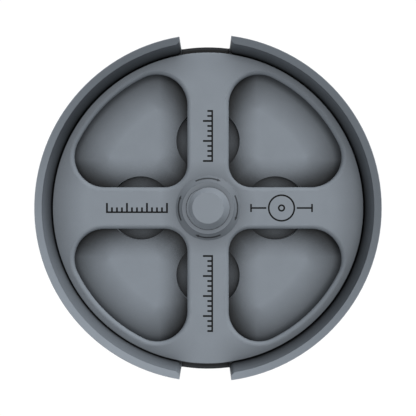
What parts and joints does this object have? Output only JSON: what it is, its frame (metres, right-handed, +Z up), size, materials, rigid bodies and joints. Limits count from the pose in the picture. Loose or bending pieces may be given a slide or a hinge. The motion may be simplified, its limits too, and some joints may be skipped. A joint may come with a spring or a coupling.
{
  "type": "grinding disc holder",
  "caption": "Round tray with a threaded centre post and a heavy screw-down lid with four wells and a cross of spokes, for clamping a stack of flat grinding discs.",
  "frame": {"origin": "centre of the tray's underside, on the post's axis", "axes": "+Z up along the post; +Y towards one grip slot and +X to the right of it, seen from above"},
  "size_m": [0.1626, 0.1626, 0.049],
  "materials": {
    "tray_plastic": "satin blue-grey printed plastic",
    "post_plastic": "satin blue-grey printed plastic",
    "washer_plastic": "satin blue-grey printed plastic",
    "lid_plastic": "satin blue-grey printed plastic"
  },
  "bodies": {
    "base": {"tray": "tray_plastic", "centre_post": "post_plastic"},
    "washer": {"thrust_washer": "washer_plastic"},
    "lid": {"screw_lid": "lid_plastic"}
  },
  "joints": [
    {"name": "lid_lift", "type": "slide", "parent": "base", "child": "washer", "axis": [0, 0, 1], "range_m": [0, 0.0225]},
    {"name": "lid_turn", "type": "hinge", "parent": "washer", "child": "lid", "pos_m": [0, 0, 0], "axis": [0, 0, 1], "range_deg": [0, 1620]}
  ],
  "couplings": [
    {"joint": "lid_lift", "follows": "lid_turn", "m_per_rad": 0.00079577}
  ]
}
